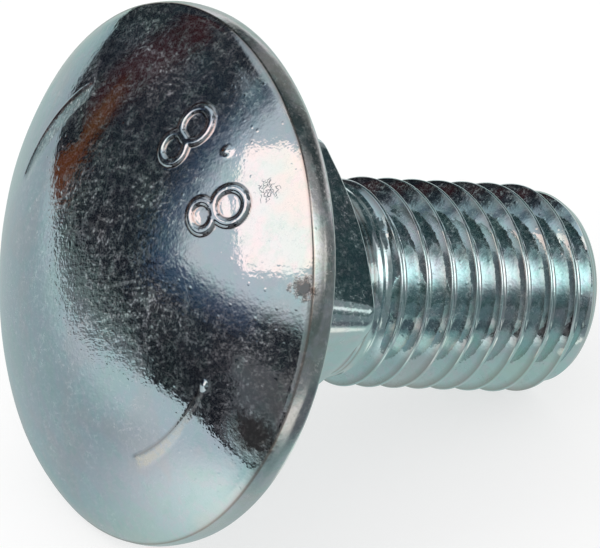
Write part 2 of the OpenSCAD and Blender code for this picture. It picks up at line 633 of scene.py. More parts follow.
def open_edges(obj, low, high):
    """Selects the open edges between two heights, leaves the mesh in edit mode and counts them."""
    bpy.ops.object.mode_set(mode="EDIT")
    bpy.ops.mesh.select_mode(type="EDGE")
    bpy.ops.mesh.select_all(action="DESELECT")
    others = ("use_wire", "use_multi_face", "use_non_contiguous", "use_verts")
    bpy.ops.mesh.select_non_manifold(extend=False, **dict.fromkeys(others, False))
    bpy.ops.object.mode_set(mode="OBJECT")
    z = coordinates(obj)[:, 2]
    mesh = obj.data
    chosen = [e for e in mesh.edges if e.select and all(low <= z[v] <= high for v in e.vertices)]
    for group in (mesh.edges, mesh.vertices, mesh.polygons):
        group.foreach_set("select", np.zeros(len(group), bool))
    for edge in chosen:
        edge.select = True
        for v in edge.vertices:
            mesh.vertices[v].select = True
    bpy.ops.object.mode_set(mode="EDIT")
    return len(chosen)


count = open_edges(shank, -LENGTH, -LENGTH + 2 * END_ROUND)
print("the end of the shank is a loop of", count, "edges")
dropped = narrowed = 0.0
for t in (30, 60, 90):
    drop = END_ROUND * math.sin(math.radians(t))
    narrowing = 0.6 * END_ROUND * (1 - math.cos(math.radians(t))) + 0.35 * drop
    bpy.ops.mesh.extrude_edges_move(TRANSFORM_OT_translate={"value": (0, 0, dropped - drop)})
    shrink = (END_R - narrowing) / (END_R - narrowed)
    bpy.ops.transform.resize(value=(shrink, shrink, 1), center_override=(0, 0, 0))
    dropped, narrowed = drop, narrowing
for shrink, rise in ((0.985, 0.0), (0.60, 0.0), (0.97, 0.02), (0.90, 0.03), (0.3, 0.0)):
    bpy.ops.mesh.extrude_edges_move(TRANSFORM_OT_translate={"value": (0, 0, rise)})
    bpy.ops.transform.resize(value=(shrink, shrink, 1), center_override=(0, 0, 0))
bpy.ops.mesh.edge_face_add()
bpy.ops.object.mode_set(mode="OBJECT")
print("the shank has", len(shank.data.polygons), "faces")

# %% [markdown]
# ## One piece of steel
#
# Head, neck and shank are joined, and the gaps between them are bridged: the flat bearing face from
# the rim to the neck's fillet, and the small shoulder from the neck's end to the rod. Bridging
# needs no cut faces and leaves one closed skin, where a Boolean would leave slivers.

# %% Join and bridge
bpy.ops.object.select_all(action="DESELECT")
for part in (shank, neck, head):
    part.select_set(True)
bpy.context.view_layer.objects.active = head
bpy.ops.object.join()
bolt = head
bolt.name = "carriage_bolt"
bolt.data.name = "carriage_bolt"
for low, high in ((-0.01, 0.01), (-9.1, -7.5)):
    print("bridging", open_edges(bolt, low, high), "open edges")
    bpy.ops.mesh.bridge_edge_loops()
bpy.ops.mesh.select_all(action="SELECT")
bpy.ops.mesh.normals_make_consistent(inside=False)
bpy.ops.mesh.select_non_manifold(extend=False)
bpy.ops.object.mode_set(mode="OBJECT")
left_open = sum(v.select for v in bolt.data.vertices)
print("open or doubled vertices left:", left_open)
bpy.ops.object.shade_smooth_by_angle(angle=math.radians(38))
bolt.matrix_world = lay_down
bpy.ops.object.transform_apply(location=True, rotation=True, scale=True)

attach(bolt, "root")
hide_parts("bolt")
print("triangles:", sum(len(f.vertices) - 2 for f in bolt.data.polygons))

# %% [markdown]
# ## The camera
#
# A long lens from two thirds of a metre away, as for a catalogue: the bolt is seen from the side of
# its head, from a little above.

# %% Place the camera
apex = seat - axis * HEAD_H * MM
toward = Vector((-0.41847, -0.71567, 0.55919)).normalized()
right = Vector((0, 0, 1)).cross(toward).normalized()
above = toward.cross(right)
camera_data = bpy.data.cameras.new("camera")
camera = bpy.data.objects.new("camera", camera_data)
bpy.context.scene.collection.objects.link(camera)
camera.location = apex + (11.877 * right - 0.204 * above + 597.1 * toward) * MM
camera.rotation_euler = toward.to_track_quat("Z", "Y").to_euler()
camera_data.sensor_width = 36.0
camera_data.lens = 649.3
camera_data.clip_start, camera_data.clip_end = 0.05, 20.0
bpy.context.scene.camera = camera
print("camera at", [round(1000 * v, 1) for v in camera.location], "mm")

# %% [markdown]
# ## Small helpers for node trees
#
# A material is a tree of nodes. Adding a node, setting its values and wiring it up takes many lines
# in a script, so a few short helpers do it. A value may be a number, a colour or the output of
# another node: the helper sets the first two and wires up the third.

# %% Helpers for nodes
def plug(tree, socket, value):
    """Wires an output into a socket, or sets the socket to a plain value."""
    if isinstance(value, bpy.types.NodeSocket):
        tree.links.new(value, socket)
    else:
        socket.default_value = value


def add(tree, kind, inputs=(), **settings):
    """Adds a node with its settings and inputs, which are given as {name or number: value}."""
    node = tree.nodes.new("ShaderNode" + kind)
    for name, value in settings.items():
        setattr(node, name, value)
    for key, value in dict(inputs).items():
        plug(tree, node.inputs[key], value)
    return node


def maths(tree, operation, a, b=0.0, c=0.0):
    """One step of arithmetic. MULTIPLY_ADD is a times b plus c."""
    return add(tree, "Math", {0: a, 1: b, 2: c}, operation=operation).outputs[0]


def ramp_up(tree, value, low, high):
    """0 below low, 1 above high and a smooth rise between them."""
    values = {"Value": value, "From Min": low, "From Max": high}
    return add(tree, "MapRange", values, interpolation_type="SMOOTHSTEP").outputs["Result"]


def ramp_down(tree, value, low, high):
    """1 below low, 0 above high and a smooth fall between them."""
    return maths(tree, "SUBTRACT", 1.0, ramp_up(tree, value, low, high))


def blend_colours(tree, share, a, b):
    """A colour between two others."""
    return add(tree, "Mix", {"Factor": share, 6: a, 7: b}, data_type="RGBA").outputs[2]


def vectors(tree, operation, a, b=(0.0, 0.0, 0.0), result="Vector"):
    """One step of arithmetic with vectors."""
    return add(tree, "VectorMath", {0: a, 1: b}, operation=operation).outputs[result]


print("the node helpers are ready")

# %% [markdown]
# ## A scratch as a node group
#
# A scratch is a thin straight line somewhere on the piece. Painting it needs an image, and an image
# has to be carried about with the file. A line can be worked out instead: a point is on the scratch
# where its distance from a short straight line is small. The sum is the same for every scratch, so
# it is one node group, and each scratch places it with its own two ends and width.

# %% Make the scratch group
scratch = bpy.data.node_groups.new("scratch", "ShaderNodeTree")
for name in ("Point", "Start", "End"):
    scratch.interface.new_socket(name, in_out="INPUT", socket_type="NodeSocketVector")
scratch.interface.new_socket("Width", in_out="INPUT", socket_type="NodeSocketFloat")
scratch.interface.new_socket("Mask", in_out="OUTPUT", socket_type="NodeSocketFloat")
given = scratch.nodes.new("NodeGroupInput").outputs
way = vectors(scratch, "SUBTRACT", given["End"], given["Start"])
reach = vectors(scratch, "SUBTRACT", given["Point"], given["Start"])
covered = vectors(scratch, "DOT_PRODUCT", reach, way, result="Value")
whole = vectors(scratch, "DOT_PRODUCT", way, way, result="Value")
share = maths(scratch, "DIVIDE", covered, whole)
share = maths(scratch, "MINIMUM", maths(scratch, "MAXIMUM", share, 0.0), 1.0)
nearest = add(scratch, "VectorMath", {0: way, "Scale": share}, operation="SCALE").outputs["Vector"]
gap = vectors(scratch, "DISTANCE", reach, nearest, result="Value")
core = maths(scratch, "MULTIPLY", given["Width"], 0.3)
result = scratch.nodes.new("NodeGroupOutput").inputs
plug(scratch, result["Mask"], ramp_down(scratch, gap, core, given["Width"]))
print("the scratch group has", len(scratch.nodes), "nodes")

# %% [markdown]
# ## Bright zinc: where on the bolt are we?
#
# The plating is a film of zinc a few thousandths of a millimetre thick, and it isn't a perfect
# mirror. Its patterns have to stay on the metal when the bolt is moved, so every one of them reads
# the piece's own coordinates. A Mapping node turns those back to the bolt's axis and scales them to
# millimetres. So 1 is a millimetre in all the values below.

# %% Coordinates for the zinc
zinc = bpy.data.materials.new("bright_zinc")
zinc.use_nodes = True
tree = zinc.node_tree
tree.nodes.clear()
output = add(tree, "OutputMaterial")
shader = add(tree, "BsdfPrincipled", {"Metallic": 1.0})
plug(tree, output.inputs["Surface"], shader.outputs[0])

stand_up = lay_down.inverted()
place = add(tree, "TexCoord").outputs["Object"]
turned_back = add(tree, "Mapping", {"Vector": place}, vector_type="POINT")
turned_back.inputs["Scale"].default_value = (1 / MM,) * 3
turned_back.inputs["Rotation"].default_value = stand_up.to_3x3().normalized().to_euler()
turned_back.inputs["Location"].default_value = stand_up.translation
mm = turned_back.outputs["Vector"]
parts = add(tree, "SeparateXYZ", {0: mm}).outputs
on_plan = add(tree, "CombineXYZ", {0: parts[0], 1: parts[1]}).outputs[0]
from_axis = vectors(tree, "LENGTH", on_plan, result="Value")
print("the object's unit is", round(1 / MM), "of the material's millimetres")

# %% [markdown]
# ## Bright zinc: the grain
#
# The bath leaves the steel's own grain in the film, so under a lens it is a mosaic of smooth and
# duller spots. In front of something dark the dull spots catch light from elsewhere and look pale,
# and in front of something bright they look grey. That is what makes plated steel look like plated
# steel and not like chrome.
#
# Noise at three sizes makes the spots, and a stretched noise makes the fine combing that the drum
# leaves when thousands of bolts tumble in it.

# %% Noise for the grain
def noise_at(scale, detail=2.0, roughness=0.5, where=mm):
    """Soft random values, with about this many lumps to the millimetre."""
    values = {"Vector": where, "Scale": scale, "Detail": detail, "Roughness": roughness}
    return add(tree, "TexNoise", values).outputs["Fac"]


clouds = noise_at(0.30, 4.0, 0.62)
grain = noise_at(2.6, 5.0, 0.68)
fine_grain = noise_at(6.5, 2.0, 0.6)


def stretched(degrees, factor):
    """The coordinates turned on the plan and stretched so many times along their own X."""
    node = add(tree, "Mapping", {"Vector": mm}, vector_type="TEXTURE")
    node.inputs["Rotation"].default_value = (0.0, 0.0, math.radians(degrees))
    node.inputs["Scale"].default_value = (factor, 1.0, 1.0)
    return node.outputs["Vector"]


streaks = noise_at(3.2, 3.0, 0.6, stretched(-58, 4.0))
dull_patch = ramp_up(tree, clouds, 0.36, 0.64)
dull_spot = ramp_up(tree, grain, 0.44, 0.70)
dull_streak = ramp_up(tree, streaks, 0.50, 0.74)
print("the grain takes", len(tree.nodes), "nodes so far")

# %% [markdown]
# ## Bright zinc: hairlines
#
# Besides its few scratches, plated steel that has been handled is covered with hairlines. They
# would be too many to place one by one. A stretched noise has its middle value along many long
# curved lines, so a narrow band round that value is a set of hairlines. Three sets cross each
# other, and another noise rubs out half of them.

# %% Hairlines
HAIRLINES = ((-28, 1.5), (-75, 1.1), (20, 0.9))  # (direction in degrees, lines to a millimetre)
lines = 0.0
for degrees, scale in HAIRLINES:
    across_middle = maths(tree, "SUBTRACT", noise_at(scale, 1.0, 0.5, stretched(degrees, 9.0)), 0.5)
    one_set = ramp_down(tree, maths(tree, "ABSOLUTE", across_middle), 0.003, 0.018)
    lines = maths(tree, "MAXIMUM", one_set, lines)
lines = maths(tree, "MULTIPLY", lines, ramp_up(tree, noise_at(0.8, 3.0, 0.7), 0.48, 0.62))
print("sets of hairlines:", len(HAIRLINES))

# %% [markdown]
# ## Bright zinc: where the grain is coarse
#
# The middle of the dome is coarser than the rest, because the blank's sheared end was there. The
# neck and the shank are coarser too. Masks made from the place on the bolt say so.

# %% Masks by place
on_dome = ramp_up(tree, parts[2], 1.0, 1.6)
on_rim = ramp_up(tree, from_axis, 14.98, 15.06)
below_head = ramp_down(tree, parts[2], -0.6, 0.0)
top_middle = maths(tree, "MULTIPLY", ramp_down(tree, from_axis, 2.5, 9.0), on_dome)
coarse = maths(tree, "MULTIPLY_ADD", top_middle, 0.7, 1.0)
coarse = maths(tree, "MULTIPLY_ADD", below_head, 0.45, coarse)
print("noises and masks so far:", len(tree.nodes), "nodes")

# %% [markdown]
# ## Bright zinc: scratches
#
# Loose bolts knock against each other in their bag. Five scratches are placed by their two ends, as
# they lie on the dome seen from above, each with its own width. The grain breaks them up.

# %% Place the scratches
SCRATCHES = (
    ((0.05, -2.10), (1.58, -4.05), 0.13),
    ((2.69, -1.75), (3.65, -1.44), 0.045),
    ((0.68, 0.52), (0.67, -0.60), 0.05),
    ((3.43, -7.01), (2.47, -7.97), 0.045),
    ((3.10, -5.30), (5.57, -6.58), 0.04),
)
scratched = 0.0
for start, end, width in SCRATCHES:
    one = add(tree, "Group", {}, node_tree=scratch)
    plug(tree, one.inputs["Point"], on_plan)
    one.inputs["Start"].default_value = (*start, 0.0)
    one.inputs["End"].default_value = (*end, 0.0)
    one.inputs["Width"].default_value = width
    scratched = maths(tree, "MAXIMUM", one.outputs["Mask"], scratched)
scratched = maths(tree, "MULTIPLY", scratched, ramp_up(tree, grain, 0.30, 0.62))
scratched = maths(tree, "MULTIPLY", scratched, on_dome)
print("the zinc has", len(SCRATCHES), "scratches")

# %% [markdown]
# ## Bright zinc: stains, pits and worn places
#
# A cluster of etched pits stands near the numerals, and two brown stains sit at the edge of the
# dome. They are placed by their middles. The low bar is rubbed dull, because it stands out. The
# floor of the cut is rough, and pale glints in it are painted highlights. These follow the masks
# that were stored on the mesh.

# %% Find the stained and worn places
def near(x, y, inner, outer):
    """1 around a point of the dome, and 0 away from it, with an edge that the grain breaks up."""
    gap = vectors(tree, "DISTANCE", on_plan, (x, y, 0.0), result="Value")
    gap = maths(tree, "MULTIPLY_ADD", maths(tree, "SUBTRACT", grain, 0.5), 1.6, gap)
    return maths(tree, "MULTIPLY", ramp_down(tree, gap, inner, outer), on_dome)


def stored(name):
    """A mask that was stored on the mesh."""
    return add(tree, "Attribute", attribute_name=name, attribute_type="GEOMETRY").outputs["Fac"]


def where_stored(name, noise, low, high):
    """A stored mask, broken up by a noise."""
    return maths(tree, "MULTIPLY", stored(name), ramp_up(tree, noise, low, high))


pitted = near(9.86, -8.58, 0.20, 0.66)
stained = maths(tree, "MAXIMUM", near(6.28, -13.14, 0.30, 0.72), near(-2.55, -13.72, 0.6, 1.7))
rubbed = where_stored("pale_bar", noise_at(2.2, 3.0, 0.7), 0.36, 0.56)
rough_and_shaded_cut = where_stored("rough_and_shaded_cut", grain, 0.30, 0.52)
# Pale glints painted in the cut: painted highlights, which are also taken off Metallic below.
painted_glints = where_stored("rough_and_shaded_cut", noise_at(4.5, 1.0), 0.60, 0.68)
worn = maths(tree, "MAXIMUM", scratched, rubbed)
print("stained and worn places found, with", len(tree.nodes), "nodes so far")

# %% [markdown]
# ## Bright zinc: how rough it is
#
# The film itself is nearly a mirror. The dull spots are rougher, and so are the worn places and the
# rim. A part of each spot behaves like a fine white powder and not like metal. That part, the
# bloom, is taken off Metallic. Each mask adds its own amount to the roughness or to the bloom.

# %% Roughness of the zinc
patchy = maths(tree, "MULTIPLY_ADD", dull_patch, 0.70, 0.30)
spots = maths(tree, "MULTIPLY", maths(tree, "MAXIMUM", dull_spot, dull_streak), patchy)
rough = 0.045
for mask, amount in ((spots, 0.13), (worn, 0.16), (on_rim, 0.13)):
    rough = maths(tree, "MULTIPLY_ADD", mask, amount, rough)
plug(tree, shader.inputs["Roughness"], rough)

bloom = maths(tree, "MULTIPLY_ADD", ramp_up(tree, fine_grain, 0.40, 0.66), 0.36, 0.03)
bloom = maths(tree, "MULTIPLY", maths(tree, "MULTIPLY", spots, bloom), coarse)
bloom = maths(tree, "ADD", bloom, maths(tree, "MULTIPLY_ADD", dull_patch, 0.012, 0.006))
for mask, amount in ((worn, 0.16), (lines, 0.09), (rough_and_shaded_cut, 0.10), (painted_glints, 0.45)):
    bloom = maths(tree, "MULTIPLY_ADD", mask, amount, bloom)
plug(tree, shader.inputs["Metallic"], maths(tree, "SUBTRACT", 1.0, bloom))
print("roughness and metallic are wired up")

# %% [markdown]
# ## Bright zinc: its colour
#
# The passivation on top of the zinc is a clear film, and it tints the metal: blue with a little
# lilac in the middle, then teal, then a warm grey at the very edge of the head. A colour ramp lays
# these tints out by the distance from the axis, and slow noise bends them so they aren't rings.

# %% Colour of the zinc
TINTS = (
    (0.20, (0.585, 0.655, 0.690, 1)),
    (0.50, (0.570, 0.660, 0.685, 1)),
    (0.72, (0.610, 0.640, 0.700, 1)),
    (0.82, (0.555, 0.660, 0.705, 1)),
    (0.90, (0.520, 0.665, 0.675, 1)),
    (0.97, (0.660, 0.665, 0.640, 1)),
)
OUTERMOST = 16.0  # the distance from the axis at which the ramp ends
bent = maths(tree, "MULTIPLY_ADD", noise_at(0.16, 3.0, 0.6), 5.0, -2.5)
bent = maths(tree, "ADD", from_axis, bent)
bands = add(tree, "ValToRGB", {0: maths(tree, "DIVIDE", bent, OUTERMOST)})
for position, colour in TINTS:
    bands.color_ramp.elements.new(position).color = colour
bands.color_ramp.elements.remove(bands.color_ramp.elements[0])
bands.color_ramp.elements.remove(bands.color_ramp.elements[-1])
print("tints:", len(TINTS))

# %% [markdown]
# ## Bright zinc: patches of other colours
#
# Over these tints lie cloudy patches of lilac and teal, a painted shade on the rim, strongest on
# its upper side, where it dims the light that the rim reflects, the colour of the shank, and those
# of the worn and stained places. The cut is painted darker as shade, most at one end, and pale
# glints are painted in it. Each is a layer: a mask, its strength and a colour, laid over the colour
# so far.
#
# A thin dark brown line is painted in the sharp corners: at the feet of the numerals, along the
# edge of the dome and beside the crests of the thread. It is painted shade and dark reflection
# there. It follows the surface, so it isn't worked out from coordinates but stored on the mesh as
# a mask, when the numerals and the thread were made.

# %% Lay the colours over each other
film = noise_at(0.22, 3.0, 0.6)
# The rim is painted darker, most on its upper side: painted shade that dims the light it reflects
# there.
upper_side_shade = maths(tree, "MULTIPLY_ADD", ramp_up(tree, parts[0], -3.0, 3.0), 0.45, 0.20)
LAYERS = (
    (fine_grain, 0.22, (0.50, 0.56, 0.60)),
    (below_head, 0.8, (0.505, 0.665, 0.68)),
    (on_rim, upper_side_shade, (0.36, 0.37, 0.345)),
    (ramp_up(tree, film, 0.50, 0.62), 0.5, (0.66, 0.61, 0.63)),
    (ramp_down(tree, film, 0.36, 0.48), 0.5, (0.53, 0.67, 0.63)),
    (ramp_up(tree, noise_at(0.8, 3.0, 0.65), 0.50, 0.64), 0.35, (0.44, 0.62, 0.60)),
    (ramp_up(tree, noise_at(1.1, 3.0, 0.65), 0.48, 0.64), 0.42, (0.63, 0.61, 0.68)),
    (rubbed, 0.8, (0.70, 0.655, 0.58)),
    # painted shade in the cut, over its real roughness
    (rough_and_shaded_cut, 0.75, (0.32, 0.47, 0.46)),
    (painted_glints, 1.0, (0.80, 0.86, 0.84)),
    # painted shade at one end of the cut
    (stored("shaded_cut_end"), maths(tree, "MULTIPLY_ADD", grain, 0.7, 0.4), (0.10, 0.16, 0.165)),
    (stained, 0.8, (0.12, 0.095, 0.09)),
    # painted shade: a dark line in the sharp corners
    (stored("painted_edge_shade"), 0.72, (0.25, 0.16, 0.12)),
)
colour = bands.outputs[0]
for mask, strength, tint in LAYERS:
    colour = blend_colours(tree, maths(tree, "MULTIPLY", mask, strength), colour, (*tint, 1))
plug(tree, shader.inputs["Base Color"], colour)
print("layers of colour:", len(LAYERS))

# %% [markdown]
# ## Bright zinc: a little relief
#
# The last touch is relief far too small to model: slow waves from the die, two sizes of grain,
# scattered pits, the combing in the middle of the dome, the rough floor of the cut, the stains and
# the etched cluster. Bump nodes bend the reflections by it, one after the other. The heights are a
# few thousandths of a millimetre, and in the rough places a few hundredths, so the edges of
# reflections break up but the dome looks smooth.

# %% Bump of the zinc
def bump(height, distance, before):
    """Lifts the surface by so many metres where the height is 1."""
    node = add(tree, "Bump", {"Height": height, "Distance": distance, "Strength": 1.0})
    if before is not None:
        plug(tree, node.inputs["Normal"], before)
    return node.outputs["Normal"]


pits = add(tree, "TexVoronoi", {"Vector": mm, "Scale": 1.9, "Randomness": 1.0})
chosen = add(tree, "SeparateColor", {0: pits.outputs["Color"]}).outputs[0]
pit_here = maths(tree, "GREATER_THAN", chosen, 0.62)
pit_shape = ramp_down(tree, pits.outputs["Distance"], 0.05, 0.26)
worms = maths(tree, "ABSOLUTE", maths(tree, "SUBTRACT", noise_at(4.2, 1.0), 0.5))
worms = maths(tree, "MULTIPLY", ramp_down(tree, worms, 0.01, 0.07), pitted)
uneven = maths(tree, "MULTIPLY_ADD", top_middle, 3.0, 1.0)
RELIEF = (  # what is raised, and by how many metres
    (noise_at(0.42, 2.0, 0.5), 5e-6),
    (maths(tree, "MULTIPLY", noise_at(3.0, 1.0), uneven), 5e-6),
    (maths(tree, "MULTIPLY", noise_at(6.5, 1.0), uneven), 2.6e-6),
    (maths(tree, "MULTIPLY", pit_shape, pit_here), 5e-6),
    (maths(tree, "MULTIPLY", streaks, top_middle), 26e-6),
    (maths(tree, "MULTIPLY", grain, rough_and_shaded_cut), 30e-6),
    (maths(tree, "SUBTRACT", stained, worms), 14e-6),
)
relief = None
for height, distance in RELIEF:
    relief = bump(height, distance, relief)
plug(tree, shader.inputs["Normal"], relief)
bolt.data.materials.clear()
bolt.data.materials.append(zinc)
print("the zinc has", len(tree.nodes), "nodes")

# %% [markdown]
# ## The studio
#
# Polished metal shows its surroundings and little else, so the look of a bolt is made by what
# stands round it. A studio gives it three things. The background is white paper. Large soft lights
# draw the broad highlights. Black cards draw the dark bands between them, without which bright zinc
# on white paper looks like milk glass.
#
# The world outside the studio is plain white. It is a little dimmer as light on the bolt than as
# background, because white paper would otherwise be overexposed.

# %% A white studio
scene = bpy.context.scene
scene.view_settings.view_transform = "Standard"
world = bpy.data.worlds.new("studio")
scene.world = world
world.use_nodes = True
tree = world.node_tree
rays = add(tree, "LightPath").outputs
AMBIENT = 0.8
mirrored = maths(tree, "MAXIMUM", rays["Is Glossy Ray"], rays["Is Transmission Ray"])
seen = maths(tree, "MAXIMUM", rays["Is Camera Ray"], mirrored)
background = tree.nodes["Background"].inputs
background["Color"].default_value = (1, 1, 1, 1)
plug(tree, background["Strength"], maths(tree, "MULTIPLY_ADD", seen, 1.0 - AMBIENT, AMBIENT))
print("the world lights with", AMBIENT)

# %% [markdown]
# ## The floor
#
# The floor is one sheet of paper. For the camera it glows a little, so that it is nearly white and
# the bolt's shadow on it stays pale. In the metal's reflections it glows with painted light and
# shade, as a real table near an object would look: painted darker where the object would shade it,
# with painted bright spots where light would get between. Light Path tells the two apart. A dark
# floor for the camera as well would spoil the background, and an all white one would flatten the
# shank. This painted reflection is laid out over the floor in metres.

# %% The floor
bpy.ops.object.select_all(action="DESELECT")
bpy.ops.mesh.primitive_plane_add(size=4.0, location=(0, 0, 0))
floor = bpy.context.object
floor.name = "floor"
floor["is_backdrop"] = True
paper = bpy.data.materials.new("white_paper")
paper.use_nodes = True
tree = paper.node_tree
rays = add(tree, "LightPath").outputs
in_camera, in_gloss = rays["Is Camera Ray"], rays["Is Glossy Ray"]
sheet = tree.nodes["Principled BSDF"]
sheet.inputs["Roughness"].default_value = 0.95
sheet.inputs["Specular IOR Level"].default_value = 0.0
own_colour = blend_colours(tree, in_camera, (0.80, 0.80, 0.80, 1), (0.40, 0.40, 0.40, 1))
own_colour = blend_colours(tree, in_gloss, own_colour, (0.05, 0.06, 0.063, 1))
plug(tree, sheet.inputs["Base Color"], own_colour)
here = add(tree, "TexCoord").outputs["Object"]
along = add(tree, "SeparateXYZ", {0: here}).outputs


def up_to(value, low, high, colour, painted_reflection):
    """A colour where the value is below low, and the painted reflection so far where it is above
    high.
    """
    return blend_colours(tree, ramp_up(tree, value, low, high), (*colour, 1), painted_reflection)


def around_spot(spot, inner, outer, colour, painted_reflection):
    """A soft round spot of a colour on the painted reflection so far."""
    gap = vectors(tree, "DISTANCE", here, (*spot, 0.0), result="Value")
    return up_to(gap, inner, outer, colour, painted_reflection)


# Painted light and shade, seen only in reflections: a darker near side, and dark and bright spots.
painted_reflection = up_to(along[0], -0.03, 0.012, (0.315, 0.385, 0.41), (0.51, 0.59, 0.56, 1))
painted_reflection = up_to(along[0], -0.044, -0.026, (0.52, 0.61, 0.63), painted_reflection)
painted_reflection = around_spot((-0.027, -0.015), 0.002, 0.021, (0.95, 0.97, 0.94), painted_reflection)  # beside the head
painted_reflection = up_to(along[1], -0.026, -0.012, (0.17, 0.195, 0.205), painted_reflection)  # the near side
painted_reflection = around_spot((-0.006, -0.037), 0.003, 0.015, (1.0, 0.98, 0.90), painted_reflection)  # before the neck
painted_reflection = around_spot((0.003, -0.026), 0.005, 0.010, (0.085, 0.095, 0.11), painted_reflection)
painted_reflection = around_spot((-0.001, -0.0125), 0.002, 0.005, (1.15, 1.12, 1.02), painted_reflection)
to_camera = (0.64, 0.64, 0.64, 1)
plug(tree, sheet.inputs["Emission Color"], blend_colours(tree, in_gloss, to_camera, painted_reflection))
plug(tree, sheet.inputs["Emission Strength"], maths(tree, "MAXIMUM", in_camera, in_gloss))
floor.data.materials.append(paper)
print("the floor's paper has", len(tree.nodes), "nodes")

# %% [markdown]
# ## A soft key light
#
# One large lamp stands high in front of the dome and throws the soft shadow. Metal would show it as
# a bright square, so it is left out of the reflections, and cards make those instead.

# %% Place the key light
bpy.ops.object.light_add(type="AREA", location=(-0.55, 0.12, 0.5))
key = bpy.context.object
key.name = "key_light"
key.rotation_euler = Vector(key.location).to_track_quat("Z", "Y").to_euler()
key.data.size = 0.5
key.data.energy = 1.8
key.visible_glossy = False
print("the key light is", key.data.size, "m wide")

# %% [markdown]
# ## Cards and soft lights
#
# A card is a patch of a large sphere round the bolt, given by the directions that it covers. Its
# edges fade, as those of a soft light do. The fade is one node group that all the cards share, and
# each card's material sets it with its own values.

# %% A soft edge as a node group
soft_edge = bpy.data.node_groups.new("soft_edge", "ShaderNodeTree")
for way, names in (("INPUT", ("Across Fade", "Upward Fade")), ("OUTPUT", ("Mask", "Height"))):
    for name in names:
        soft_edge.interface.new_socket(name, in_out=way, socket_type="NodeSocketFloat")
given = soft_edge.nodes.new("NodeGroupInput").outputs
uv = add(soft_edge, "SeparateXYZ", {0: add(soft_edge, "TexCoord").outputs["UV"]}).outputs
masks = []
for share, fade in ((uv[0], given[0]), (uv[1], given[1])):
    inside = maths(soft_edge, "MINIMUM", share, maths(soft_edge, "SUBTRACT", 1.0, share))
    masks.append(ramp_up(soft_edge, inside, 0.0, fade))
result = soft_edge.nodes.new("NodeGroupOutput").inputs
plug(soft_edge, result[0], maths(soft_edge, "MULTIPLY", *masks))
plug(soft_edge, result[1], uv[1])
print("the soft edge has", len(soft_edge.nodes), "nodes")

# %% [markdown]
# ## What a card is made of
#
# A card only glows. Where its edge fades the material turns transparent, so what is behind it shows
# through. It is seen in reflections and nowhere else, or it would hide the background from the
# camera and light the bolt a second time.

# %% Helpers for cards
SHARP = (1e-4, 1e-4)  # fades of a card with hard edges


def glow(name, lower, upper, fades):
    """A plain glow that blends from one colour up to another and fades at its edges."""
    material = bpy.data.materials.new(name)
    material.use_nodes = True
    tree = material.node_tree
    tree.nodes.clear()
    edge = add(tree, "Group", node_tree=soft_edge)
    for socket, fade in zip(edge.inputs, fades):
        socket.default_value = fade
    colour = blend_colours(tree, edge.outputs[1], (*lower, 1), (*upper, 1))
    light = add(tree, "Emission", {"Color": colour}).outputs[0]
    clear = add(tree, "BsdfTransparent").outputs[0]
    mixed = add(tree, "MixShader", {0: edge.outputs[0], 1: clear, 2: light})
    plug(tree, add(tree, "OutputMaterial").inputs["Surface"], mixed.outputs[0])
    return material


def finish_card(obj, name, material):
    """Names a card, gives it its glow and hides it from all but reflections."""
    obj.name = name
    obj.data.materials.append(material)
    obj.visible_camera = obj.visible_diffuse = obj.visible_shadow = False
    obj.visible_transmission = obj.visible_volume_scatter = False
    obj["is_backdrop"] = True


print("the card helpers are ready")

# %% [markdown]
# ## Patches of a sphere
#
# A grid is bent into a patch between four directions: each direction is an azimuth and an
# elevation, as on a globe. An upright card needs only two azimuths and two elevations.

# %% Helpers for patches
STUDIO_MIDDLE = (0.0, 0.0, 15 * MM)


def patch(name, corners, lower, upper, fades, distance):
    """A patch of a sphere round the bolt, between four (azimuth, elevation) corners in degrees.

    The corners are lower left, lower right, upper right and upper left as seen from the bolt's
    back. Azimuth runs from +X towards +Y. The fades are shares of the patch's two sizes.
    """
    bpy.ops.object.select_all(action="DESELECT")
    bpy.ops.mesh.primitive_grid_add(x_subdivisions=24, y_subdivisions=24, size=1.0)
    obj = bpy.context.object
    co = coordinates(obj)
    u, v = co[:, :1] + 0.5, co[:, 1:2] + 0.5
    first, second, third, fourth = (np.radians(corner) for corner in corners)
    a, e = ((1 - v) * ((1 - u) * first + u * second) + v * ((1 - u) * fourth + u * third)).T
    directions = np.stack((np.cos(e) * np.cos(a), np.cos(e) * np.sin(a), np.sin(e)), axis=1)
    set_coordinates(obj, directions * distance * MM + STUDIO_MIDDLE)
    finish_card(obj, name, glow(name, lower, upper, fades))


def card(name, azimuths, elevations, lower, upper, fades, distance):
    """An upright patch between two azimuths and two elevations, with its fades in degrees."""
    (a0, a1), (e0, e1) = azimuths, elevations
    shares = (fades[0] / (a1 - a0), fades[1] / (e1 - e0))
    patch(name, ((a0, e0), (a1, e0), (a1, e1), (a0, e1)), lower, upper, shares, distance)


print("cards are placed round a point", round(1000 * STUDIO_MIDDLE[2]), "mm above the floor")

# %% [markdown]
# ## Stand them round the bolt
#
# The dome sees what is in front of it, towards azimuth 180. A dark wall there gives the broad dark
# sweep, a warm strip and a dull red one the brown tints in it, and a navy glow its blue part. The
# softbox and its halo are the white highlight beside the numerals. The shank sees the near side: a
# grey room, and a light on the right with a dark card under it. A dark card overhead, with a dull
# grey glow in front of it, draws the dark bands along the thread. A card with a smaller distance
# covers those behind it.

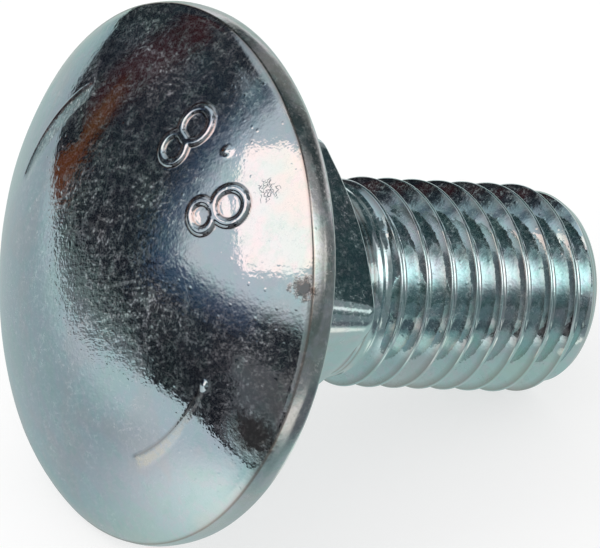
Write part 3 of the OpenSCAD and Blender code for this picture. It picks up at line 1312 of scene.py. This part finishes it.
# %% Stand them round the bolt
DARK = (0.012, 0.014, 0.018)
WARM = (0.115, 0.036, 0.014)
SOFTBOX = (1.66, 1.39, 1.29)
GREY = (0.27, 0.28, 0.28)
BRIGHT = (2.7, 2.7, 2.6)
GLINT = (1.2, 1.2, 1.15)
sky_low, sky_high = (0.20, 0.25, 0.29), (0.75, 0.82, 0.86)
card("grey_above_the_wall", (62, 156), (30, 84), sky_low, sky_high, (12, 10), 480)
card("dark_wall", (84, 206), (-14, 45), DARK, (0.020, 0.025, 0.034), (3, 7), 450)
card("warm_strip", (109.5, 118.5), (-14, 13), WARM, WARM, (4, 8), 444)
red_low, red_high = (0.035, 0.012, 0.014), (0.040, 0.014, 0.018)
card("dull_red_strip", (103, 121), (-10, 38), red_low, red_high, (7, 10), 446)
navy = ((150, 2), (188, 6), (206, 84), (127, 50))
patch("navy_glow", navy, (0.055, 0.09, 0.15), (0.05, 0.075, 0.105), (0.2, 0.13), 445)
halo = ((155.5, 9.3), (212, 14.5), (222, 97), (136, 53))
patch("softbox_halo", halo, (0.66, 0.73, 0.75), (0.60, 0.68, 0.75), (0.17, 0.10), 440)
softbox = ((177, 20.2), (216, 37), (196, 76), (153.5, 38.5))
patch("softbox", softbox, SOFTBOX, SOFTBOX, (0.02, 0.02), 435)
card("grey_room", (196, 352), (-14, 60), (0.17, 0.20, 0.21), (0.34, 0.36, 0.36), (8, 10), 490)
dim_low, dim_high = (0.024, 0.040, 0.043), (0.045, 0.078, 0.086)
card("dark_overhead", (-24, 92), (8, 78), dim_low, dim_high, (10, 8), 470)
card("grey_corner", (180, 201), (-6, 6), (0.10, 0.10, 0.105), (0.09, 0.095, 0.10), (4, 3), 442)
card("grey_overhead", (6, 52), (0, 52), GREY, GREY, (15, 13), 465)
card("right_light", (-106, -38), (10, 66), BRIGHT, BRIGHT, (28, 24), 460)
card("neck_glint", (-53, -30), (3, 23), GLINT, GLINT, (5, 5), 455)
card("right_dark", (-104, -12), (-14, 10), (0.10, 0.13, 0.125), (0.13, 0.175, 0.18), (10, 7), 450)

# %% [markdown]
# ## A ceiling and cards on the floor
#
# Flat cards lie where the floor has to look dark in a reflection. Each is a polygon just above the
# floor, and the lighter ones lie over the darker ones. Their outline follows how the dome shrinks
# the floor in its reflection. A dull disc overhead is the ceiling of the room.

# %% Lay flat cards
CEILING = (0.12, 0.14, 0.15)
BY_THE_BOLT = [(-47, 56), (-43, 35), (-46, 28), (-58, 24), (-66, 14)]  # three cards share it
FLOOR_CARDS = (  # name, height above the floor, colour and corners; lengths are millimetres
    ("dark_floor", 0.2, DARK, [
        (-35, 377), (-28, 192), (-25, 126), (-32, 108), (-37, 87), (-48, 76), *BY_THE_BOLT,
        (-68, 4), (-66, -3), (-58, -8), (-50, -12), (-45, -15), (-41, -19), (-36, -26),
        (-90, -80), (-440, -100), (-440, 440), (-35, 440),
    ]),
    ("middle_floor", 0.25, (0.085, 0.10, 0.105), [
        (-47, 78), *BY_THE_BOLT, (-84, 16), (-135, 60), (-120, 100), (-70, 112),
    ]),
    ("lighter_floor", 0.28, (0.17, 0.195, 0.20), [
        (-47, 66), *BY_THE_BOLT, (-74, 16), (-84, 38), (-70, 62),
    ]),
    ("warm_floor", 0.3, WARM, [(-46, 76), (-40, 84), (-37, 96), (-170, 405), (-200, 392)]),
    ("grey_floor", 0.35, (0.10, 0.10, 0.105), [
        (-52, -13), (-62, -11), (-100, -17), (-430, -34), (-430, -180), (-140, -66), (-60, -36),
        (-50, -24),
    ]),
)
bpy.ops.object.select_all(action="DESELECT")
bpy.ops.mesh.primitive_circle_add(
    vertices=48, radius=0.26, fill_type="NGON", location=(0.06, -0.02, 0.50)
)
ceiling_glow = glow("dull_ceiling", CEILING, CEILING, SHARP)
finish_card(bpy.context.object, "dull_ceiling", ceiling_glow)
for name, height, colour, corners in FLOOR_CARDS:
    bpy.ops.object.select_all(action="DESELECT")
    bpy.ops.mesh.primitive_circle_add(vertices=len(corners), radius=1.0, fill_type="NGON")
    flat = bpy.context.object
    set_coordinates(flat, np.array([(x, y, height) for x, y in corners]) * MM)
    finish_card(flat, name, glow(name, colour, colour, SHARP))

# %% [markdown]
# ## The size of the bolt
#
# The finished bolt has to fit the CAD model's box. The box of what is shown, without the floor
# and the cards, is printed in millimetres.

# %% Sizes and the end
low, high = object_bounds()
print("visual box in mm:", [round(1000 * v, 2) for v in (*low, *high)])
